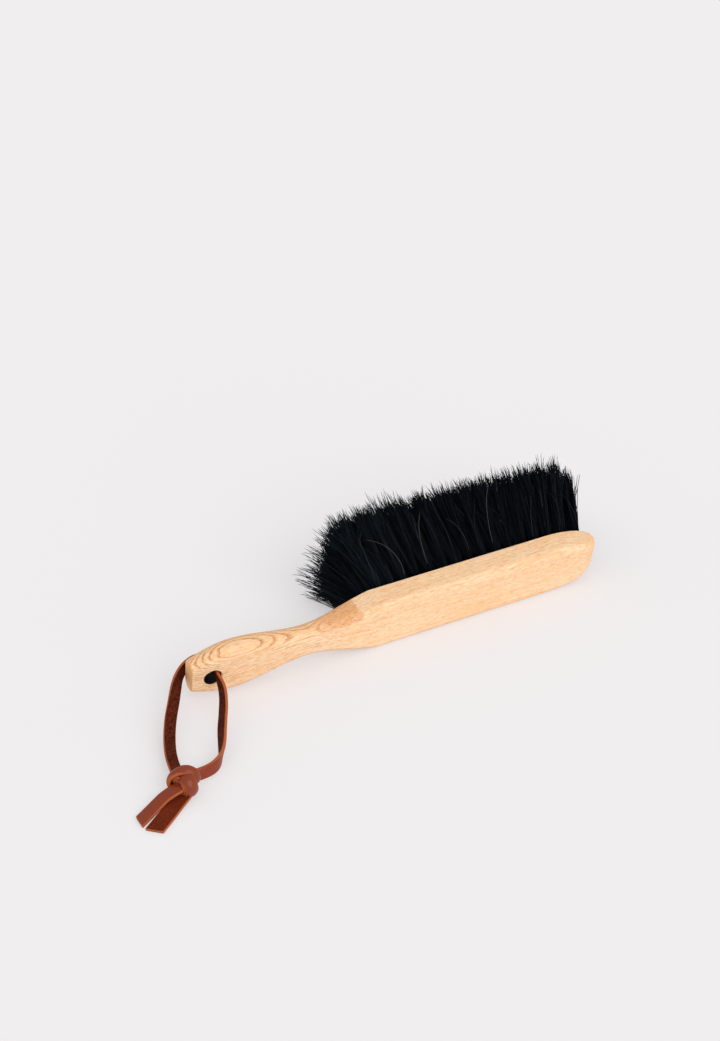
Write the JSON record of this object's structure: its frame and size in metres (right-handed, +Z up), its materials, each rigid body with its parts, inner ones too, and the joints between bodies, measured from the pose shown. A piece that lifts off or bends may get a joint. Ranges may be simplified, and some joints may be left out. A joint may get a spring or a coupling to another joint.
{
  "type": "hand broom",
  "caption": "Hand broom with a pale oak block and waisted handle, fanned rows of black hair tufts in its face, and a knotted leather hanging thong through the handle end.",
  "frame": {"origin": "middle of the broom's box on the table that it lies on, measured without the thong", "axes": "+X along the block from the handle end to the tip, +Y the way the bristles point, +Z up, with the broom on its side as pictured"},
  "size_m": [0.418, 0.1844, 0.0684],
  "materials": {
    "oak": "sanded and lightly oiled, matt",
    "bristle": "black hair with a low sheen",
    "anchor_wire": "drawn flat wire",
    "thong_leather": "red-brown, smooth outside, rough flesh side inside"
  },
  "bodies": {
    "broom": {"handle_block": "oak", "bristle_row_1": "bristle", "bristle_row_2": "bristle", "bristle_row_3": "bristle", "bristle_row_4": "bristle", "bristle_row_5": "bristle", "anchor_row_1": "anchor_wire", "anchor_row_2": "anchor_wire", "anchor_row_3": "anchor_wire", "anchor_row_4": "anchor_wire", "anchor_row_5": "anchor_wire"},
    "thong": {"thong_near_run": "thong_leather", "thong_far_run": "thong_leather", "thong_knot": "thong_leather", "thong_tail_smooth": "thong_leather", "thong_tail_rough": "thong_leather"}
  },
  "joints": [
    {"name": "thong_swing", "type": "hinge", "parent": "broom", "child": "thong", "pos_m": [-0.15777, -0.03156, 0.02177], "axis": [0, 0.9848, 0.174], "range_deg": [0, 90]}
  ]
}
